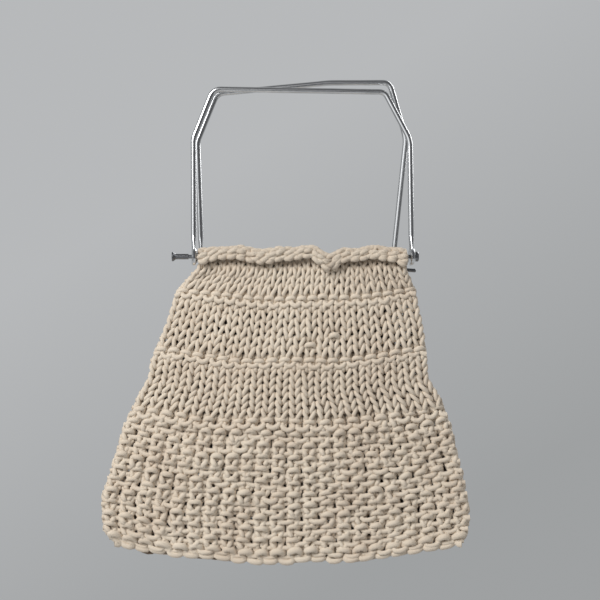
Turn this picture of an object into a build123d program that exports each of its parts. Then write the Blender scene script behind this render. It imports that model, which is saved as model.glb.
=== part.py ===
from build123d import *
import math
import os

os.makedirs("parts", exist_ok=True)

# A knitted bag that hangs from two bent wire handles. +X is to the bag's right
# side as seen from the front, the front faces -Y and +Z is up. The origin is
# the hanging point, midway between the two handle bars. All sizes are in mm.

# Handle wire, eyes and rods
wire_diameter = 4.4
handle_bar_gap = 1.0
eye_diameter = 14.0
eye_thickness = 3.0
eye_edge = 0.6
eye_twist = 9.0
neck_root = 5.0
neck_length = 17.0
neck_width = 8.0
rod_diameter = 3.0
rod_tip_edge = 0.4
eye_clearance = 0.08
rod_spacing = 18.0
front_rod_drop = 136.5
back_rod_drop = 137.2
back_rod_slope = 9.0

# Front handle, as seen from the front, from the left eye round to the right one
front_eye_left = -86.6
front_eye_right = 87.6
front_shape = [(-87.2, -41.6), (-71.4, -1.6), (66.4, -4.0), (86.6, -42.5)]
front_bends = [14.0, 9.0, 7.0, 22.0]

# Back handle, bent a little differently, with its right leg drawn inwards
back_eye_left = -81.8
back_eye_right = 73.2
back_shape = [(-84.6, -43.2), (-68.6, -4.4), (22.0, 4.2), (70.6, 4.4), (84.0, -40.8)]
back_bends = [16.0, 9.0, 60.0, 7.0, 26.0]

# Ends of the rods, their heads, and the sleeve nut on the front one
front_rod_end = -97.5
back_rod_end = 92.4
head_diameter = 8.0
head_thickness = 2.6
head_edge = 0.8
head_play = 0.5
sleeve_end = -104.0
sleeve_length = 13.2
sleeve_diameter = 4.4
sleeve_flange_diameter = 7.4
sleeve_flange_rim = 1.2
sleeve_flange_cone = 1.8
sleeve_bore_clearance = 0.05
sleeve_bore_depth = 9.6
slot_width = 1.0
slot_depth = 0.7

# Knitting: the sheet, its stitch columns, and the relief of the stitches
wale_count = 22
sheet_thickness = 4.6
column_relief = 1.7
ridge_relief = 2.4
ridge_flank_relief = 1.0
ridge_dip_relief = 1.7
ridge_half_height = 2.8
plain_rows = (0.35, 0.7)
garter_ridges = 12
garter_relief = 2.1
garter_dip_relief = 1.15
garter_hollow = 0.3
edge_scallop = 1.1
edge_rounding = 1.15
seam_width = 6.0
belly = 10.5
pocket_toe = 24.0
inner_columns = 10

# Hem casings, rolled round the rods
hem_clearance = 0.5
hem_rise = 6.4
hem_depth = 5.6
hem_fall = 6.2
hem_relief = 0.8
hem_shoulder = 0.6
hem_lip = 3.5
rod_channel_clearance = 0.3
dip_place = 21.6
dip_half_width = 11.0
dip_depth = 3.0

# Courses across the bag: the depth below the front rod at the sides, how far
# the course sags in the middle (a flat curve of this power, steeper at the
# sides), and how far the knitting reaches to each side
eye_room = 1.2
mouth_depth = 16.0
mouth_flare = 0.44
ridge_one = 27.5
ridge_two = 74.7
garter_top = 118.7
bottom = 231.5
sag_power = 2.2
sags = [(0.0, 0.0), (ridge_one, 8.8), (ridge_two, 10.4), (garter_top, 10.4), (bottom, 14.5)]
reaches = [
    (ridge_one, -102.4, 92.6),
    (56.0, -112.0, 98.6),
    (83.0, -123.2, 102.4),
    (98.0, -125.6, 103.6),
    (112.0, -134.0, 113.0),
    (136.0, -145.6, 121.0),
    (163.0, -153.0, 128.0),
    (190.0, -162.2, 135.0),
    (205.0, -163.4, 136.8),
    (220.0, -161.6, 135.6),
    (bottom, -153.0, 129.0),
]

wire_radius = wire_diameter / 2
rod_radius = rod_diameter / 2
rod_offset = rod_spacing / 2
flare_depth = eye_diameter / 2 + eye_room
eye_reach = eye_thickness / 2 + eye_diameter / 2 * math.sin(math.radians(eye_twist))


def rod_height(front, x):
    """Height of a rod's axis at x. The back rod hangs lower at the right."""
    if front:
        return -front_rod_drop
    run = (x - back_eye_left) / (back_eye_right - back_eye_left)
    return -back_rod_drop - back_rod_slope * run


def rod_point(front, x):
    """Point on a rod's axis."""
    return Vector(x, -rod_offset if front else rod_offset, rod_height(front, x))


def rod_direction(front):
    return (rod_point(front, 1.0) - rod_point(front, 0.0)).normalized()


def interpolate(table, depth, column):
    """Value of one column of a table at a depth, on straight lines."""
    if depth <= table[0][0]:
        return table[0][column]
    for upper, lower in zip(table, table[1:]):
        if depth <= lower[0]:
            share = (depth - upper[0]) / (lower[0] - upper[0])
            return upper[column] + share * (lower[column] - upper[column])
    return table[-1][column]


def smooth_step(value):
    value = min(1.0, max(0.0, value))
    return value * value * (3 - 2 * value)


def wire_handle(front):
    """A wire handle that leans in over its rod until the two bars are side by side."""
    shape = front_shape if front else back_shape
    bends = front_bends if front else back_bends
    ends = (front_eye_left, front_eye_right) if front else (back_eye_left, back_eye_right)
    side = -1 if front else 1
    along = rod_direction(front)
    base = rod_point(front, 0.0)
    up = Vector(-along.Z, 0, along.X)
    bar_height = max(z - rod_height(front, x) for x, z in shape)
    bar_offset = (wire_diameter + handle_bar_gap) / 2
    lean = side * (bar_offset - rod_offset) / bar_height

    def in_plane(x, z):
        """The point of the handle's leaning plane that the front view shows at x, z."""
        height = (Vector(x, base.Y, z) - base).dot(up)
        return Vector(x, base.Y + lean * height, z)

    corners = [in_plane(x, z) for x, z in shape]
    eyes = [rod_point(front, x) for x in ends]
    necks = [(corners[0] - eyes[0]).normalized(), (corners[-1] - eyes[1]).normalized()]
    starts = [eye + direction * neck_length for eye, direction in zip(eyes, necks)]
    normal = along.cross(corners[0] - eyes[0]).normalized()
    plane = Plane(origin=base, x_dir=along, z_dir=normal)
    flat = [plane.to_local_coords(point) for point in [starts[0], *corners, starts[1]]]
    outline = FilletPolyline(*[(point.X, point.Y) for point in flat], radius=bends)
    path = plane.location * outline
    handle = sweep((path ^ 0) * Circle(wire_radius), path=path)
    for eye, direction in zip(eyes, necks):
        handle += wire_eye(eye, direction, along)
    for eye in eyes:
        handle -= rod_cylinder(eye, along, rod_radius + eye_clearance, 2 * eye_thickness)
    return handle


def wire_eye(center, direction, along):
    """The flattened end of a handle wire, before it is drilled."""
    face_normal = along.rotate(Axis((0, 0, 0), direction), eye_twist)
    disc_plane = Plane(origin=center, x_dir=direction, z_dir=face_normal)
    disc = disc_plane * Cylinder(eye_diameter / 2, eye_thickness)
    edges = disc.edges().filter_by(GeomType.CIRCLE)
    disc = chamfer(edges, eye_edge)
    width = face_normal.cross(direction)
    top = Plane(origin=center + direction * neck_length, x_dir=width, z_dir=direction)
    low = Plane(origin=center + direction * neck_root, x_dir=width, z_dir=direction)
    flat = low * Ellipse(neck_width / 2, eye_thickness / 2)
    neck = loft([flat, top * Circle(wire_radius)])
    return disc + neck


def rod_cylinder(center, along, radius, length):
    """A cylinder centred on a point of a rod's axis."""
    return Plane(origin=center, z_dir=along) * Cylinder(radius, length)


def rod(front):
    """A thin steel rod with a low round head on one end and a bare threaded other end."""
    along = rod_direction(front)
    if front:
        head_from = front_eye_right + eye_reach + head_play
        tail = rod_point(front, front_rod_end)
        outward = along
    else:
        head_from = back_eye_left - eye_reach - head_play
        tail = rod_point(front, back_rod_end)
        outward = along * -1
    seat = rod_point(front, head_from)
    length = (seat - tail).length
    shank = Plane(origin=tail, z_dir=outward) * Cylinder(
        rod_radius, length, align=(Align.CENTER, Align.CENTER, Align.MIN)
    )
    tip_edge = shank.faces().sort_by(Axis(tail, outward))[0].edges()
    shank = chamfer(tip_edge, rod_tip_edge)
    head = Plane(origin=seat, z_dir=outward) * Cylinder(
        head_diameter / 2, head_thickness, align=(Align.CENTER, Align.CENTER, Align.MIN)
    )
    crown = head.faces().sort_by(Axis(seat, outward))[-1].edges()
    return shank + chamfer(crown, head_edge)


def sleeve_nut():
    """A long sleeve nut with a cone flange, part way onto the front rod's thread."""
    radius = sleeve_diameter / 2
    flange = sleeve_flange_diameter / 2
    cone_end = sleeve_flange_rim + sleeve_flange_cone
    profile = Polyline(
        (0, 0),
        (flange, 0),
        (flange, sleeve_flange_rim),
        (radius, cone_end),
        (radius, sleeve_length),
        (0, sleeve_length),
        close=True,
    )
    body = revolve(Plane.XZ * make_face(profile), Axis.Z)
    bore_radius = rod_radius + sleeve_bore_clearance
    bore = Pos(0, 0, sleeve_length - sleeve_bore_depth) * Cylinder(
        bore_radius, sleeve_bore_depth, align=(Align.CENTER, Align.CENTER, Align.MIN)
    )
    slot = Box(2 * flange, slot_width, 2 * slot_depth)
    nut = body - bore - slot
    place = Plane(origin=rod_point(True, sleeve_end), z_dir=rod_direction(True))
    return place * nut


def edge_reach(front, depth):
    """How far a panel reaches to the left and to the right at a depth."""
    if depth >= ridge_one:
        return interpolate(reaches, depth, 1), interpolate(reaches, depth, 2)
    flare = [(flare_depth, 0.0), (mouth_depth, mouth_flare), (ridge_one, 1.0)]
    share = interpolate(flare, depth, 1)
    left, right = hem_ends(front)
    return left + share * (reaches[0][1] - left), right + share * (reaches[0][2] - right)


def hem_ends(front):
    """The hem fills the rod between the two eyes."""
    inset = eye_reach + hem_clearance
    if front:
        return front_eye_left + inset, front_eye_right - inset
    return back_eye_left + inset, back_eye_right - inset


def course_height(front, depth, x, left, right):
    """Height of a course at x: it hangs from the rod at the top and sags lower down."""
    share = (x - left) / (right - left)
    sag = interpolate(sags, depth, 1) * (1 - abs(2 * share - 1) ** sag_power)
    hang = interpolate([(flare_depth, 1.0), (ridge_one, 0.0)], depth, 1)
    tilt = (rod_height(front, x) + front_rod_drop) * hang
    return -front_rod_drop - depth - sag + tilt


def hem_dip(front, x):
    """The front hem sags off its rod at one place."""
    if not front:
        return 0.0
    return dip_depth * smooth_step(1 - abs(x - dip_place) / dip_half_width)


def fullness(depth, share):
    """Distance of a panel's inner face from the middle of the bag."""
    hang = rod_offset - sheet_thickness / 2
    at_edge = hang * (1 - smooth_step((depth - hem_fall) / (ridge_one - hem_fall)))
    opened = smooth_step((depth - hem_fall) / (ridge_two - hem_fall))
    closing = smooth_step((bottom - depth) / (bottom - garter_top))
    in_middle = (hang + (belly - hang) * opened) * closing
    across = 1 - (2 * share - 1) ** 2
    return at_edge + (in_middle - at_edge) * across


def cavity_share(x, left, right):
    """Place across the pocket, which ends at the side seams."""
    share = (x - left - seam_width) / (right - left - 2 * seam_width)
    return min(1.0, max(0.0, share))


def courses():
    """The rows of the front net: depth, rise over a column, rise between columns."""
    rows = [(flare_depth, column_relief, 0.0), (mouth_depth, column_relief, 0.0)]
    for ridge, following in ((ridge_one, ridge_two), (ridge_two, garter_top)):
        rows.append((ridge - ridge_half_height, ridge_flank_relief, 0.0))
        rows.append((ridge, ridge_relief, ridge_dip_relief))
        rows.append((ridge + ridge_half_height, ridge_flank_relief, 0.0))
        for share in plain_rows:
            rows.append((ridge + share * (following - ridge), column_relief, 0.0))
    pitch = (bottom - garter_top) / garter_ridges
    for ridge in range(garter_ridges):
        rows.append((garter_top + ridge * pitch, garter_hollow, 0.0))
        rows.append((garter_top + (ridge + 0.5) * pitch, garter_relief, garter_dip_relief))
    return rows


def outer_net(front):
    """Points of the stitched face, top to bottom, with two net lines for each wale."""
    lines = 2 * wale_count
    left, right = hem_ends(front)
    hem_rows = [
        (rod_offset, hem_rise, 0.0, hem_relief),
        (rod_offset + hem_depth, hem_shoulder, hem_relief, 0.0),
        (rod_offset + hem_lip, -hem_fall, hem_relief / 2, 0.0),
    ]
    net = []
    for offset, rise, swell, lift in hem_rows:
        row = []
        for line in range(lines + 1):
            x = left + (right - left) * line / lines
            z = rod_height(front, x) + rise - hem_dip(front, x)
            if line % 2:
                row.append((x, offset + swell, z + lift))
            else:
                row.append((x, offset, z))
        net.append(row)
    for depth, over_column, between in courses():
        left, right = edge_reach(front, depth)
        row = []
        for line in range(lines + 1):
            x = left + (right - left) * line / lines
            on_edge = line in (0, lines)
            relief = 0.0 if on_edge else over_column if line % 2 else between
            reach = fullness(depth, cavity_share(x, left, right)) + sheet_thickness
            if on_edge:
                scallop = edge_scallop if between > 0 else 0.0
                x += scallop if line else -scallop
                reach -= edge_rounding
            z = course_height(front, depth, x, left, right)
            row.append((x, reach + relief, z))
        net.append(row)
    left, right = edge_reach(front, bottom)
    row = []
    for line in range(lines + 1):
        x = left + (right - left) * line / lines
        scallop = edge_scallop if line % 2 else 0.0
        z = course_height(front, bottom, x, left, right) - scallop
        row.append((x, sheet_thickness - edge_rounding, z))
    net.append(row)
    return net


def inner_places(left, right):
    """Places across the inner face: both edges, and even steps between the side seams."""
    low = left + seam_width
    step = (right - left - 2 * seam_width) / inner_columns
    return [left, *[low + step * column for column in range(inner_columns + 1)], right]


def inner_net(front):
    """Points of the plain inner face and of the flat seam round it, on a wide mesh."""
    left, right = hem_ends(front)
    net = []
    for offset, rise in ((rod_offset - hem_depth, 0.0), (rod_offset - hem_lip, -hem_fall)):
        row = []
        for x in inner_places(left, right):
            row.append((x, offset, rod_height(front, x) + rise - hem_dip(front, x)))
        net.append(row)
    depths = [flare_depth, mouth_depth, ridge_one, (ridge_one + ridge_two) / 2, ridge_two]
    depths += [garter_top, (garter_top + bottom) / 2]
    depths += [bottom - pocket_toe, bottom - seam_width, bottom]
    for depth in depths:
        left, right = edge_reach(front, depth)
        row = []
        for x in inner_places(left, right):
            reach = fullness(depth, cavity_share(x, left, right))
            if depth >= bottom - seam_width:
                reach = 0.0
            row.append((x, reach, course_height(front, depth, x, left, right)))
        net.append(row)
    return net


def triangles_of_net(net):
    """Two triangles for each mesh of a net."""
    triangles = []
    for upper, lower in zip(net, net[1:]):
        for index in range(len(upper) - 1):
            a, b = upper[index], upper[index + 1]
            c, d = lower[index], lower[index + 1]
            if index % 2:
                triangles += [(a, c, b), (b, c, d)]
            else:
                triangles += [(a, c, d), (a, d, b)]
    return triangles


def triangles_between(first, second):
    """A strip of triangles that closes the gap between two rows of points."""
    triangles = []
    i = 0
    j = 0
    while i < len(first) - 1 or j < len(second) - 1:
        next_first = (i + 1) / (len(first) - 1) if i < len(first) - 1 else 2.0
        next_second = (j + 1) / (len(second) - 1) if j < len(second) - 1 else 2.0
        if next_first <= next_second:
            triangles.append((first[i], first[i + 1], second[j]))
            i += 1
        else:
            triangles.append((first[i], second[j + 1], second[j]))
            j += 1
    return triangles


def knitted_panel(front):
    """One side of the bag with its hem casing, as a closed solid of small flat faces."""
    outer = outer_net(front)
    inner = inner_net(front)
    triangles = triangles_of_net(outer) + triangles_of_net(inner)
    triangles += triangles_between(outer[0], inner[0])
    triangles += triangles_between(outer[-1], inner[-1])
    for side in (0, -1):
        outer_edge = [row[side] for row in outer]
        inner_edge = [row[side] for row in inner]
        triangles += triangles_between(outer_edge, inner_edge)
    facing = -1 if front else 1
    faces = []
    for triangle in triangles:
        corners = [Vector(x, facing * y, z) for x, y, z in triangle]
        faces.append(Face(Wire.make_polygon(corners, close=True)))
    panel = Solid(Shell(faces))
    left, right = hem_ends(front)
    middle = rod_point(front, (left + right) / 2)
    channel_radius = rod_radius + rod_channel_clearance
    channel_length = right - left + 2 * eye_diameter
    return panel - rod_cylinder(middle, rod_direction(front), channel_radius, channel_length)


pieces = {
    "front_handle": wire_handle(True),
    "back_handle": wire_handle(False),
    "front_rod": rod(True),
    "back_rod": rod(False),
    "front_sleeve_nut": sleeve_nut(),
    "front_panel": knitted_panel(True),
    "back_panel": knitted_panel(False),
}

for name, piece in pieces.items():
    export_step(piece, f"parts/{name}.step")
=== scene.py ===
import math
import bpy
import numpy as np
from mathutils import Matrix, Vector


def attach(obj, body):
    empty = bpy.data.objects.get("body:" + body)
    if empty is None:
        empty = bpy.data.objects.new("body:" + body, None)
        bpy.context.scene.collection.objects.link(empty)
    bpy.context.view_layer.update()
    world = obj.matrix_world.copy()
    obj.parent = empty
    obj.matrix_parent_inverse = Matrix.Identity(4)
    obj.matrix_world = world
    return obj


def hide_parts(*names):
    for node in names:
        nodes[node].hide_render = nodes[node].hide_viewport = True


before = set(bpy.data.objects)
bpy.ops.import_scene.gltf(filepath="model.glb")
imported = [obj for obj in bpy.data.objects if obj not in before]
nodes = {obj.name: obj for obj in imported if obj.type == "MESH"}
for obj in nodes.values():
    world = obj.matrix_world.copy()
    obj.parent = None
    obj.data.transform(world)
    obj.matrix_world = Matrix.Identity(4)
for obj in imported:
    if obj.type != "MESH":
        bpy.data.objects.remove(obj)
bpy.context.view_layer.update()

# Camera. It looks level at the middle of the bag, straight on, as in the photograph.
camera_data = bpy.data.cameras.new("camera")
camera_data.sensor_width = 36.0
camera_data.lens = 90.0
camera_data.clip_end = 20.0
camera = bpy.data.objects.new("camera", camera_data)
camera.location = (-0.0016, -1.209, -0.1712)
camera.rotation_euler = (math.radians(90), 0, 0)
bpy.context.scene.collection.objects.link(camera)
bpy.context.scene.camera = camera


def shader_group(name, inputs, outputs):
    """An empty shader node group with its named sockets."""
    group = bpy.data.node_groups.new(name, "ShaderNodeTree")
    for label, kind, value in inputs:
        socket = group.interface.new_socket(label, in_out="INPUT", socket_type=kind)
        socket.default_value = value
    for label, kind in outputs:
        group.interface.new_socket(label, in_out="OUTPUT", socket_type=kind)
    return group, group.nodes.new("NodeGroupInput"), group.nodes.new("NodeGroupOutput")


def add_node(tree, kind, links=(), **settings):
    """A node with its settings, its inputs joined or set by name or number."""
    node = tree.nodes.new(kind)
    for key, value in settings.items():
        setattr(node, key, value)
    for socket, value in dict(links).items():
        if isinstance(value, bpy.types.NodeSocket):
            tree.links.new(value, node.inputs[socket])
        else:
            node.inputs[socket].default_value = value
    return node


def calculated(tree, operation, *values):
    """A value worked out from one to three others."""
    return add_node(tree, "ShaderNodeMath", enumerate(values), operation=operation).outputs[0]


def ramp(tree, value, low, high):
    """A value that rises from 0 to 1 while another one goes from low to high."""
    limits = {"Value": value, "From Min": low, "From Max": high}
    return add_node(tree, "ShaderNodeMapRange", limits).outputs["Result"]


def mixed_color(tree, factor, first, second):
    """A colour between two others, each of them a socket or red, green and blue."""
    node = add_node(tree, "ShaderNodeMix", {"Factor": factor}, data_type="RGBA")
    for label, color in (("A", first), ("B", second)):
        if isinstance(color, bpy.types.NodeSocket):
            tree.links.new(color, node.inputs[label])
        else:
            node.inputs[label].default_value = (*color, 1.0)
    return node.outputs["Result"]


def new_material(name, color, roughness, metallic=0.0):
    """A material with one principled shader, and its node tree and shader."""
    material = bpy.data.materials.new(name)
    material.use_nodes = True
    shader = material.node_tree.nodes["Principled BSDF"]
    shader.inputs["Base Color"].default_value = (*color, 1.0)
    shader.inputs["Roughness"].default_value = roughness
    shader.inputs["Metallic"].default_value = metallic
    return material, material.node_tree, shader


metal_wear, given, result = shader_group(
    "metal_wear",
    [
        ("Scale", "NodeSocketFloat", 900.0),
        ("Stretch", "NodeSocketVector", (1.0, 1.0, 1.0)),
        ("Clean", "NodeSocketFloat", 0.1),
        ("Rubbed", "NodeSocketFloat", 0.3),
    ],
    [
        ("Roughness", "NodeSocketFloat"),
        ("Height", "NodeSocketFloat"),
        ("Dirt", "NodeSocketFloat"),
    ],
)
place = add_node(metal_wear, "ShaderNodeTexCoord").outputs["Object"]
stretched = add_node(
    metal_wear,
    "ShaderNodeVectorMath",
    {0: place, 1: given.outputs["Stretch"]},
    operation="MULTIPLY",
)
fine = add_node(
    metal_wear,
    "ShaderNodeTexNoise",
    {"Vector": stretched.outputs[0], "Scale": given.outputs["Scale"], "Detail": 5.0},
)
broad = add_node(
    metal_wear, "ShaderNodeTexNoise", {"Vector": place, "Scale": 55.0, "Detail": 4.0}
)
blotch = ramp(metal_wear, broad.outputs["Fac"], 0.35, 0.72)
rough = add_node(
    metal_wear,
    "ShaderNodeMapRange",
    {"Value": blotch, "To Min": given.outputs["Clean"], "To Max": given.outputs["Rubbed"]},
)
metal_wear.links.new(rough.outputs["Result"], result.inputs["Roughness"])
metal_wear.links.new(fine.outputs["Fac"], result.inputs["Height"])
metal_wear.links.new(blotch, result.inputs["Dirt"])


def worn_metal(name, clean_color, dull_color, scale, stretch, clean, rubbed, bump):
    """A metal whose gloss and tone change over it, with fine marks along one direction."""
    material, tree, shader = new_material(name, clean_color, clean, metallic=1.0)
    wear = tree.nodes.new("ShaderNodeGroup")
    wear.node_tree = metal_wear
    wear.inputs["Scale"].default_value = scale
    wear.inputs["Stretch"].default_value = stretch
    wear.inputs["Clean"].default_value = clean
    wear.inputs["Rubbed"].default_value = rubbed
    tone = mixed_color(tree, wear.outputs["Dirt"], clean_color, dull_color)
    marks = add_node(
        tree,
        "ShaderNodeBump",
        {"Height": wear.outputs["Height"], "Strength": bump, "Distance": 0.0001},
    )
    tree.links.new(tone, shader.inputs["Base Color"])
    tree.links.new(wear.outputs["Roughness"], shader.inputs["Roughness"])
    tree.links.new(marks.outputs["Normal"], shader.inputs["Normal"])
    return material


rod_steel = worn_metal(
    "rod_steel",
    clean_color=(0.26, 0.265, 0.275),
    dull_color=(0.10, 0.102, 0.108),
    scale=1400.0,
    stretch=(3.0, 0.3, 0.3),
    clean=0.20,
    rubbed=0.38,
    bump=0.25,
)
for name in ("front_rod", "back_rod", "front_sleeve_nut"):
    nodes[name].data.materials.clear()
    nodes[name].data.materials.append(rod_steel)

# Handles. Each is one length of bright plated steel wire, bent by hand and flattened
# into a drilled eye at both ends. Handling has left it slightly dulled in places.
bright_wire = worn_metal(
    "bright_wire",
    clean_color=(0.76, 0.77, 0.78),
    dull_color=(0.58, 0.59, 0.60),
    scale=700.0,
    stretch=(0.5, 1.0, 0.08),
    clean=0.15,
    rubbed=0.24,
    bump=0.01,
)
for name in ("front_handle", "back_handle"):
    nodes[name].data.materials.clear()
    nodes[name].data.materials.append(bright_wire)

# Front and back panels. Each is knitted upwards in one plump cotton yarn: twelve
# garter ridges, plain knit rows with two purl ridges between them, and a hem that
# rolls up behind its rod, over it and down in front, where it is bound off.
MM = 0.001
WALES = 22
YARN = 1.78

# the rods, and how far each hem reaches along its own, in mm
ROD_OFFSET = 9.0
FRONT_ROD_HEIGHT = -136.5
BACK_ROD_HEIGHT = -137.2
BACK_ROD_LEFT = -81.8
BACK_ROD_RUN = 155.0
BACK_ROD_DROP = 9.0
HEM_ENDS = {True: (-83.5, 84.5), False: (-78.7, 70.1)}

# depths below the front rod, and how far the panels reach to each side there
FLARE_TOP = 8.2
MOUTH_DEPTH = 16.0
MOUTH_FLARE = 0.44
FIRST_RIDGE = 27.5
SECOND_RIDGE = 74.7
GARTER_TOP = 118.7
BOTTOM = 231.5
DEPTHS = [FIRST_RIDGE, 56.0, 83.0, 98.0, 112.0, 136.0, 163.0, 190.0, 205.0, 220.0, BOTTOM]
LEFT_REACH = [
    -102.4, -112.0, -123.2, -125.6, -134.0, -145.6, -153.0, -162.2, -163.4, -161.6, -153.0,
]
RIGHT_REACH = [92.6, 98.6, 102.4, 103.6, 113.0, 121.0, 128.0, 135.0, 136.8, 135.6, 129.0]

# how far the rows sag between the sides, and how full the bag is
SAG_DEPTHS = [0.0, FIRST_RIDGE, SECOND_RIDGE, GARTER_TOP, BOTTOM]
SAGS = [0.0, 8.8, 10.4, 10.4, 14.5]
SAG_POWER = 2.2
HALF_SHEET = 2.3
HEM_FALL = 6.2
BELLY = 10.5
CLOTH_MIDDLE = 2.9


def smooth_step(value):
    value = np.clip(value, 0.0, 1.0)
    return value * value * (3 - 2 * value)


def rod_height(front, x):
    """Height of the rod's axis; the back rod hangs lower at the right."""
    if front:
        return FRONT_ROD_HEIGHT + 0.0 * x
    return BACK_ROD_HEIGHT - BACK_ROD_DROP * (x - BACK_ROD_LEFT) / BACK_ROD_RUN


def edge_reach(front, depth):
    """How far a panel reaches to the left and right at a depth below the rod."""
    left, right = HEM_ENDS[front]
    flare = np.interp(depth, [FLARE_TOP, MOUTH_DEPTH, FIRST_RIDGE], [0.0, MOUTH_FLARE, 1.0])
    upper = depth < FIRST_RIDGE
    flared_left = left + flare * (LEFT_REACH[0] - left)
    flared_right = right + flare * (RIGHT_REACH[0] - right)
    return (
        np.where(upper, flared_left, np.interp(depth, DEPTHS, LEFT_REACH)),
        np.where(upper, flared_right, np.interp(depth, DEPTHS, RIGHT_REACH)),
    )


def sag(depth, share):
    """How far a row hangs below its ends at a share of the way across."""
    return np.interp(depth, SAG_DEPTHS, SAGS) * (1 - np.abs(2 * share - 1) ** SAG_POWER)


def panel_height(front, x, depth, share):
    """Height of the panel: it hangs from its rod at the top and sags lower down."""
    hang = np.interp(depth, [FLARE_TOP, FIRST_RIDGE], [1.0, 0.0])
    tilt = (rod_height(front, x) - FRONT_ROD_HEIGHT) * hang
    return FRONT_ROD_HEIGHT - depth - sag(depth, share) + tilt


def panel_middle(depth, share):
    """Distance of the middle of the cloth from the middle of the bag."""
    hang = ROD_OFFSET - HALF_SHEET
    at_edge = hang * (1 - smooth_step((depth - HEM_FALL) / (FIRST_RIDGE - HEM_FALL)))
    opened = smooth_step((depth - HEM_FALL) / (SECOND_RIDGE - HEM_FALL))
    closing = smooth_step((BOTTOM - depth) / (BOTTOM - GARTER_TOP))
    in_middle = (hang + (BELLY - hang) * opened) * closing
    across = 1 - (2 * share - 1) ** 2
    return at_edge + (in_middle - at_edge) * across + CLOTH_MIDDLE


# the roll of the hem round its rod, from the panel to the bound-off edge: how far
# out and how far up from the rod's axis, as it lies and where it has slipped down
ROLL_OUT = [0.6, -1.6, -3.9, -4.4, -2.8, 0.6, 3.6, 4.8, 5.0, 5.0]
ROLL_UP = [-9.0, -6.0, -3.0, 0.3, 3.5, 4.6, 3.2, 0.2, -2.4, -6.4]
SLIPPED_OUT = [0.8, 1.5, 2.6, 3.2, 3.4, 4.9, 6.4, 6.8, 6.6, 6.4]
SLIPPED_UP = [-11.5, -9.0, -6.0, -3.0, -0.6, 0.4, -0.9, -4.4, -8.2, -12.2]
ROLL_LENGTH = 27.1
ROLL_STEPS = [*np.linspace(0.0, ROLL_LENGTH, 9), ROLL_LENGTH + 4.0]
ROLL_START = 9.0
SAG_FADE = 10.0
LOOSENING = 8.0
JOIN_LENGTH = 4.0

# where the hem has slipped down its rod: a notch, and a little at the right corner
SLIP_PLACE = 21.6
SLIP_WIDTH = 13.0
CORNER_START = 74.0
CORNER_WIDTH = 10.0
CORNER_SLIP = 0.4

# the uneven lower edge of the hem: how much is rolled back at places across it
HEM_PLACES = [
    -86.0, -74.0, -67.0, -53.0, -46.0, -23.0, -16.0, 6.0, 13.0, 30.0, 36.0, 54.0, 60.0, 72.0, 80.0,
]
HEM_RISES = [1.0, 1.2, 3.6, 3.4, 1.2, 1.0, 3.0, 2.9, 0.8, 0.8, 3.0, 2.8, 2.0, 1.8, 0.0]


def hem_slip(front, x):
    """How far the hem has slipped at x, from 0 to 1. Only the front one has."""
    if not front:
        return 0.0 * x
    notch = smooth_step(1 - np.abs(x - SLIP_PLACE) / SLIP_WIDTH)
    return notch + CORNER_SLIP * smooth_step((x - CORNER_START) / CORNER_WIDTH)


def rolled_hem(front, x, down, share):
    """A point of the hem's roll: out from the middle of the bag, and up."""
    along = np.clip(ROLL_START - down, 0.0, None)
    rise = np.interp(x if front else -x, HEM_PLACES, HEM_RISES)
    along = along - rise * (along / ROLL_LENGTH) ** 2
    slip = hem_slip(front, x)
    lying_out, slipped_out, lying_up, slipped_up = [
        np.interp(along, ROLL_STEPS, table)
        for table in (ROLL_OUT, SLIPPED_OUT, ROLL_UP, SLIPPED_UP)
    ]
    start_sag = sag(ROLL_START, share)
    out = ROD_OFFSET + lying_out + slip * (slipped_out - lying_out)
    up = rod_height(front, x) + lying_up + slip * (slipped_up - lying_up)
    up = up - start_sag * np.clip(1 - along / SAG_FADE, 0.0, 1.0)

    # the cloth isn't even: it waves a little, more so away from the panel
    loosened = np.clip(along / LOOSENING, 0.0, 1.0)
    wave = 0.9 * np.sin(x / 9.3 + (1.1 if front else 2.7)) + 0.6 * np.sin(x / 4.1 + 0.4)
    up = up + wave * loosened
    out = out + 0.4 * np.sin(x / 5.1) * loosened

    # the start of the roll meets the panel
    table_start = ROLL_UP[0] + slip * (SLIPPED_UP[0] - ROLL_UP[0])
    roll_start = rod_height(front, x) + table_start - start_sag
    step = panel_height(front, x, ROLL_START, share) - roll_start
    return out, up + np.clip(1 - along / JOIN_LENGTH, 0.0, 1.0) * step


def cloth_middle(front, down, share):
    """A point of the middle of the cloth: across, out from the bag's middle, and up.
    Below the roll, down is the depth under the rod; less than that runs round the roll."""
    depth = np.maximum(down, ROLL_START)
    left, right = edge_reach(front, depth)
    x = left + YARN + (right - left - 2 * YARN) * share
    wave = 0.7 * np.sin(x / 13.0 + depth / 31.0) * np.clip((depth - ROLL_START) / 20.0, 0.0, 1.0)
    up = panel_height(front, x, depth, share) + wave
    roll_out, roll_up = rolled_hem(front, x, down, share)
    rolled = down < ROLL_START
    return x, np.where(rolled, roll_out, panel_middle(depth, share)), np.where(rolled, roll_up, up)


def cloth_point(front, down, share, lift):
    """A point at a height above the middle of the cloth, on its knit side."""
    reach = 1.2
    x, out, up = cloth_middle(front, down, share)
    _, out_above, up_above = cloth_middle(front, down - reach, share)
    _, out_below, up_below = cloth_middle(front, down + reach, share)
    run = np.hypot(out_below - out_above, up_below - up_above)
    out = out + lift * (up_above - up_below) / run
    up = up + lift * (out_below - out_above) / run
    return x, out, up


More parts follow.
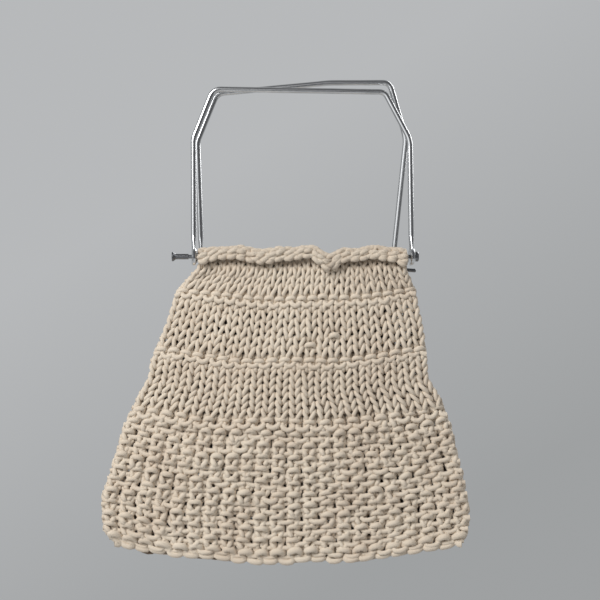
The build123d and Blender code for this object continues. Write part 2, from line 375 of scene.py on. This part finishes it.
# the rows, from the bound-off edge downwards: the hem, three blocks of plain rows
# (height of a row, number of rows, depth of the purled row that ends them), and
# the garter rows with the cast-on row below them
KNIT = 1
PURL = -1
HEM_ROWS = 6
HEM_PITCH = 5.1
HEM_END = 12.5
GARTER_START = 123.4
PLAIN_BLOCKS = [(5.4, 3, FIRST_RIDGE), (7.1, 7, SECOND_RIDGE), (6.35, 8, GARTER_START)]
GARTER_ROW = HEM_ROWS + sum(count for _, count, _ in PLAIN_BLOCKS)
GARTER_ROWS = 22
GARTER_PITCH = 4.6
CAST_ON_END = 227.6

# the two mis-knit stitches of the front: row and stitch
MIS_KNIT = [(13, 12), (12, 14)]


def row_heights():
    """Where one knitted row meets the next, and whether each row is knit or purled."""
    joins = [HEM_END - HEM_PITCH * k for k in range(HEM_ROWS, -1, -1)]
    kinds = [KNIT] * HEM_ROWS
    for pitch, count, ridge in PLAIN_BLOCKS:
        start = joins[-1]
        joins += [start + pitch * (k + 1) for k in range(count - 1)] + [ridge]
        kinds += [KNIT] * (count - 1) + [PURL]
    joins += [GARTER_START + GARTER_PITCH * (k + 1) for k in range(GARTER_ROWS)] + [CAST_ON_END]
    kinds += [KNIT, PURL] * (GARTER_ROWS // 2) + [PURL]
    return joins, kinds


# the yarn's way through a stitch: points in a stitch, how far a loop reaches into
# the next one, how far the yarn swings out and in, and the usual width of a stitch
STITCH_POINTS = 16
LOOP_OVERLAP = 4.9
SWING = 1.95
WIDTH_DEPTHS = [0, 60, 160, 231]
WIDTHS = [7.8, 9.6, 12.2, 13.0]

# heights that the material's painted shade uses instead of the yarn's own: an even one round the
# hem, which ends at this depth, and more at the side edges, which are never painted dark
HEM_SHADE = 0.25
HEM_SHADE_END = 4.0
EDGE_SHADE = 3.5


def knit_row(front, top, bottom, kind, kind_above, loose, yarn_swell, random):
    """Points along the yarn of one row of loops, from left to right, with the yarn's
    swelling and the height above the middle of the cloth that sets its painted shade at each point."""
    garter = top >= GARTER_START
    turns = np.arange(WALES * STITCH_POINTS + 1) / STITCH_POINTS
    stitch = np.minimum(turns.astype(int), WALES - 1)
    nearest_foot = np.rint(turns).astype(int)

    # the angle goes once round in a stitch; the phase is 0 at a foot and pi at a head
    angle = 2 * np.pi * turns
    phase = np.abs((angle + np.pi) % (2 * np.pi) - np.pi)
    kind_left = kind[np.clip(nearest_foot - 1, 0, WALES - 1)]
    kind_right = kind[np.clip(nearest_foot, 0, WALES - 1)]
    kind_foot = (kind_left + kind_right) / 2
    knit = kind[stitch] > 0
    purl_foot = kind_foot < 0
    purl_above = kind_above[stitch] < 0

    # no two stitches are alike
    stagger = random.normal(0.0, 0.24 * loose, (3, WALES + 1))
    wobble = random.normal(0.0, 0.15 * loose, (3, 4 * WALES + 1))
    drift = [
        np.interp(turns, np.arange(WALES + 1), stagger[k])
        + np.interp(turns * 4, np.arange(4 * WALES + 1), wobble[k])
        for k in range(3)
    ]
    lean = random.normal(-0.6, 1.3, (2, WALES + 1))

    # across and down
    open_head = np.where(purl_above, 0.17 if garter else 0.26, 0.24)
    open_foot = np.where(knit, 0.24, 0.27)
    spread = np.where(phase > np.pi / 2, open_head, open_foot)
    width = np.interp((top + bottom) / 2, WIDTH_DEPTHS, WIDTHS)
    height = bottom - top + LOOP_OVERLAP
    share = (turns + spread * np.sin(2 * angle) + drift[0] / width) / WALES
    down = (top + bottom) / 2 + height / 2 * np.cos(angle) + drift[1]
    if not front:
        middle = np.sin(np.pi * np.clip(share, 0, 1))
        share = share + 0.5 / WALES * middle
        if top >= HEM_END:
            down = down + 0.6 * middle
    share = np.clip(share, 0.0, 1.0)

    # how much each point belongs to a foot, the legs and a head
    at_foot, at_legs, at_head = [
        np.interp(phase, [0.35, 1.15, 2.0, 2.8], weights)
        for weights in ([1, 0, 0, 0], [0, 1, 1, 0], [0, 0, 0, 1])
    ]
    if not garter:
        at_foot = np.where(purl_foot, np.interp(phase, [0.75, 1.4], [1.15, 0.0]), at_foot)

    # out and in: knit legs lie in front, feet and heads pass behind, purled ones not
    legs_out = np.where(knit, 0.95, -0.4) * at_legs
    foot_out = -1.1 * kind_foot * at_foot
    head_out = -1.1 * kind_above[stitch] * at_head
    lift = SWING * (legs_out + foot_out + head_out)
    tucked = knit & purl_above
    tuck = 1.35 * SWING * np.interp(phase, [1.45, 1.96, 2.36, 2.78], [0, 1, 1, 0])

    # the purl arcs lean, and lie deeper or higher in their ridge
    from_middle = turns - stitch - 0.5
    from_foot = turns - nearest_foot
    down = down + np.where(purl_above, 2.0 * lean[0][stitch] * from_middle * at_head, 0.0)
    down = down + np.where(purl_foot, 2.0 * lean[1][nearest_foot] * from_foot * at_foot, 0.0)
    if garter:
        furrow = np.interp(share, [0.35, 0.65], [0.95, 0.3])
        lift = lift - np.where(purl_foot, furrow * SWING * at_foot, 0.0)
        lift = lift + np.where(purl_above, 0.15 * SWING * at_head, 0.0)
        down = down - np.where(purl_above, 0.7 * at_head, 0.0)
    else:
        down = down + np.where(purl_foot, 1.1 * np.interp(phase, [0.0, 0.8], [1.0, 0.0]), 0.0)
    lift = lift - np.where(tucked, tuck, 0) + drift[2]
    x, out, up = cloth_point(front, down, share, lift)

    foot_swell, head_swell = (0.98, 1.14) if garter else (1.05, 1.05)
    swell = yarn_swell * np.interp(phase, [0.0, 1.5, 3.1], [foot_swell, 1.02, head_swell])
    swell = swell * (1 + 0.07 * drift[2])
    if not garter:
        ridge = 1.0 * (purl_foot & (phase < 1.0)) + 1.0 * (purl_above & (phase > 2.1))
        swell = swell * (1 + 0.14 * ridge)
    # painted shade: the side edges are kept light
    edge = 1 - np.clip(np.minimum(share, 1 - share) * WALES * 1.2, 0.0, 1.0)
    side = -1 if front else 1
    points = np.stack([x, side * out, up], axis=1)
    # the last value sets only the painted shade, not the shape
    return points, swell, np.where(down < HEM_SHADE_END, HEM_SHADE, lift + EDGE_SHADE * edge)


def chain_strands(front, random):
    """The bound-off edge: a chain of lying loops along the end of the roll."""
    strands = []
    side = -1 if front else 1
    along = np.linspace(0.0, 1.0, 10)
    arch = np.sin(np.pi * along)
    lower = np.interp(along, [0.0, 0.3, 0.6, 1.0], [-0.8, -2.2, -1.0, 1.9])
    upper = np.interp(along, [0.0, 0.5, 1.0], [0.2, 2.6, 2.8])
    plump = np.interp(along, [0, 0.5, 1], [0.85, 1.2, 0.85])
    for place in range(WALES):
        for leg, late in ((upper, 0.0), (lower, 0.15)):
            wander = random.normal(0.0, 0.3, 3)
            share = (place - 0.1 + 1.5 * along + late + 0.5 * wander[0]) / WALES
            share = np.clip(share, 0.0, 1.0)
            x, out, up = cloth_middle(front, ROLL_START - ROLL_LENGTH + 1.8, share)
            out = out + 4.2 * arch ** 0.7 - 2.6 + 0.5 * wander[0] + 0.7
            up = up + leg + wander[1] + 1.6 * wander[2] * (along - 0.5)
            points = np.stack([x, side * out, up], axis=1)
            # painted shade: each loop darker at its ends, and brown under the fold where the hem
            # has slipped at the notch
            notch_shade = 2.6 * np.clip(1 - np.abs(x - SLIP_PLACE) / 9.0, 0.0, 1.0) * front
            shade = -0.5 + 1.5 * arch - 0.5 * notch_shade
            strands.append((points, plump * (1 + 0.25 * wander[1]), shade))
    return strands


# sides of the yarn's section, which a bevel resolution of 1 gives; how deep in the painted gap
# shade the middle of the cloth is, and the height over which that goes from 1 to 0
RING = 6
MIDDLE_PAINTED_SHADE = 0.55
PAINTED_SHADE_HEIGHT = 4.5


def yarn_piece(name, strands):
    """A mesh of plump yarn that follows each strand of points, with its depth in the
    cloth kept for the material's painted shade: 0 outside, 1 deep in the gaps."""
    curve = bpy.data.curves.new(name, "CURVE")
    curve.dimensions = "3D"
    curve.bevel_depth = YARN * MM
    curve.bevel_resolution = 1
    for points, swell, _ in strands:
        spline = curve.splines.new("POLY")
        spline.points.add(len(points) - 1)
        weighted = np.column_stack([points * MM, np.ones(len(points))])
        spline.points.foreach_set("co", weighted.ravel())
        spline.points.foreach_set("radius", np.asarray(swell, dtype=float))
    piece = bpy.data.objects.new(name, curve)
    bpy.context.scene.collection.objects.link(piece)
    bpy.ops.object.select_all(action="DESELECT")
    piece.select_set(True)
    bpy.context.view_layer.objects.active = piece
    bpy.ops.object.convert(target="MESH")
    bpy.ops.object.shade_smooth()
    piece = bpy.context.view_layer.objects.active
    lifts = np.repeat(np.concatenate([lift for _, _, lift in strands]), RING)
    # painted shade: outside the hem, the side of each yarn that faces into the cloth counts as
    # deeper and is painted darker
    outward = 0.0
    if not name.endswith("hem"):
        centers = np.repeat(np.concatenate([points for points, _, _ in strands]) * MM, RING, axis=0)
        places = np.empty(len(piece.data.vertices) * 3)
        piece.data.vertices.foreach_get("co", places)
        places = places.reshape(-1, 3)
        outward = (np.abs(places[:, 1]) - np.abs(centers[:, 1])) / MM
    painted_shade = piece.data.attributes.new("painted_shade", "FLOAT", "POINT")
    depths = np.clip(MIDDLE_PAINTED_SHADE - (lifts + outward) / PAINTED_SHADE_HEIGHT, 0.0, 1.0)
    painted_shade.data.foreach_set("value", depths.astype(np.float32))
    return piece


# cotton: three plies twisted along the yarn, fine fibres, and a painted brown shade in the gaps
PLIES = 3.0
TWIST = 1400.0
cotton, given, result = shader_group(
    "cotton_fibres",
    [("Twist", "NodeSocketFloat", 1.0)],
    [("Shade", "NodeSocketFloat"), ("Height", "NodeSocketFloat")],
)
uv = add_node(cotton, "ShaderNodeUVMap", uv_map="UVMap")
place = add_node(cotton, "ShaderNodeTexCoord").outputs["Object"]
parts = add_node(cotton, "ShaderNodeSeparateXYZ", {"Vector": uv.outputs["UV"]})
wind = calculated(cotton, "MULTIPLY", parts.outputs["X"], given.outputs["Twist"])
ply = calculated(cotton, "MULTIPLY", parts.outputs["Y"], PLIES)
turn = calculated(cotton, "MULTIPLY", calculated(cotton, "ADD", wind, ply), 2 * math.pi)
wave = calculated(cotton, "SINE", turn)
fuzz = add_node(cotton, "ShaderNodeTexNoise", {"Vector": place, "Scale": 1500.0, "Detail": 4.0})
patch = add_node(cotton, "ShaderNodeTexNoise", {"Vector": place, "Scale": 42.0, "Detail": 3.0})
height = calculated(cotton, "MULTIPLY_ADD", wave, 0.35, fuzz.outputs["Fac"])
shade = ramp(cotton, patch.outputs["Fac"], 0.3, 0.7)
cotton.links.new(shade, result.inputs["Shade"])
cotton.links.new(height, result.inputs["Height"])

yarn, tree, shader = new_material("cotton_yarn", (0.70, 0.60, 0.48), 0.86)
shader.inputs["Sheen Weight"].default_value = 0.25
shader.inputs["Sheen Roughness"].default_value = 0.5
shader.inputs["Specular IOR Level"].default_value = 0.25
fibres = tree.nodes.new("ShaderNodeGroup")
fibres.node_tree = cotton
fibres.inputs["Twist"].default_value = TWIST
tint = mixed_color(tree, fibres.outputs["Shade"], (0.665, 0.560, 0.445), (0.735, 0.640, 0.520))
fluff = add_node(
    tree,
    "ShaderNodeBump",
    {"Height": fibres.outputs["Height"], "Strength": 0.5, "Distance": 0.0003},
)
# painted shade: the yarn's colour goes towards dark brown where the cloth is deep, in its gaps
painted_shade = add_node(tree, "ShaderNodeAttribute", attribute_name="painted_shade")
gap_shade = ramp(tree, painted_shade.outputs["Fac"], 0.42, 0.95)
gap_shaded_tint = mixed_color(tree, gap_shade, tint, (0.17, 0.115, 0.072))
tree.links.new(gap_shaded_tint, shader.inputs["Base Color"])
tree.links.new(fluff.outputs["Normal"], shader.inputs["Normal"])

joins, kinds = row_heights()


def row_swell(front, index):
    """How plump a row's yarn is: thin where the hem starts, thick at the cast-on row."""
    if index == len(kinds) - 1:
        return 1.42
    if index >= GARTER_ROW or index < HEM_ROWS - 2:
        return 1.16
    if index < HEM_ROWS + 1:
        return 0.88
    return 1.0 if front else 1.1


for front in (True, False):
    label = "front" if front else "back"
    random = np.random.default_rng(11 if front else 29)
    pattern = np.repeat(np.array(kinds)[:, None], WALES, axis=1)
    if front:
        for row, stitch in MIS_KNIT:
            pattern[row, stitch] = PURL
    rows = []
    for index in range(len(kinds)):
        kind_above = pattern[max(index - 1, 0)]
        loose = 2.6 if index >= GARTER_ROW else 1.4
        rows.append(knit_row(front, joins[index], joins[index + 1], pattern[index],
                             kind_above, loose, row_swell(front, index), random))
    groups = {
        "hem": rows[:HEM_ROWS] + chain_strands(front, random),
        "plain_knitting": rows[HEM_ROWS:GARTER_ROW],
        "garter_knitting": rows[GARTER_ROW:],
    }
    for part_name, strands in groups.items():
        piece = yarn_piece(f"{label}_{part_name}", strands)
        piece.data.materials.append(yarn)
        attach(piece, "bag")
        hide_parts(f"{label}_panel")

# Studio. A plain pale floor well below the hanging bag, a large soft lamp in front at
# the upper left and a weaker one behind at the right, against a pale grey background.
bpy.ops.object.select_all(action="DESELECT")
bpy.ops.mesh.primitive_circle_add(
    vertices=96, radius=0.95, fill_type="NGON", location=(0, 0, -0.62)
)
floor = bpy.context.active_object
floor.name = "floor"
floor_paint, tree, shader = new_material("floor_paint", (0.50, 0.505, 0.51), 0.9)
floor.data.materials.append(floor_paint)

LAMP_SIZE = 1.2
BAG_MIDDLE = Vector((0, 0, -0.2))


def lamp(name, place, power):
    """A round soft lamp that shines at the middle of the bag."""
    data = bpy.data.lights.new(name, "AREA")
    data.shape = "DISK"
    data.size = LAMP_SIZE
    data.energy = power
    light = bpy.data.objects.new(name, data)
    light.location = place
    light.rotation_euler = (BAG_MIDDLE - Vector(place)).to_track_quat("-Z", "Y").to_euler()
    bpy.context.scene.collection.objects.link(light)


lamp("key_lamp", (-1.05, -1.25, 0.85), 33.5)
lamp("back_lamp", (1.0, 1.7, 0.6), 20.0)

# the camera sees a pale backdrop that gets darker to the lower right, metal mirrors
# a darker grey with one bright patch, and the rest is lit by an even grey
world = bpy.data.worlds.new("studio")
world.use_nodes = True
bpy.context.scene.world = world
tree = world.node_tree
tree.nodes.clear()
path = add_node(tree, "ShaderNodeLightPath")
seen = calculated(
    tree, "MAXIMUM", path.outputs["Is Camera Ray"], path.outputs["Is Transmission Ray"]
)
direction = add_node(tree, "ShaderNodeTexCoord").outputs["Generated"]
axes = add_node(tree, "ShaderNodeSeparateXYZ", {"Vector": direction})
slant = calculated(tree, "MULTIPLY_ADD", axes.outputs["X"], -0.6, axes.outputs["Z"])
fade = ramp(tree, slant, -0.2, 0.12)
backdrop = mixed_color(tree, fade, (0.345, 0.355, 0.36), (0.475, 0.485, 0.495))
behind = ramp(tree, axes.outputs["Y"], -0.4, 0.7)
mirrored = mixed_color(tree, behind, (0.10, 0.10, 0.105), (0.42, 0.43, 0.435))
facing = add_node(
    tree, "ShaderNodeVectorMath", {0: direction, 1: (-0.61, -0.78, 0.12)}, operation="DOT_PRODUCT"
)
patch = ramp(tree, facing.outputs["Value"], 0.74, 0.92)
glossy = mixed_color(tree, patch, mirrored, (1.0, 1.01, 1.02))
unseen = mixed_color(tree, path.outputs["Is Glossy Ray"], (0.345, 0.35, 0.355), glossy)
shown = mixed_color(tree, seen, unseen, backdrop)
sky = add_node(tree, "ShaderNodeBackground", {"Color": shown, "Strength": 1.0})
add_node(tree, "ShaderNodeOutputWorld", {"Surface": sky.outputs["Background"]})

bpy.context.scene.view_settings.view_transform = "Standard"
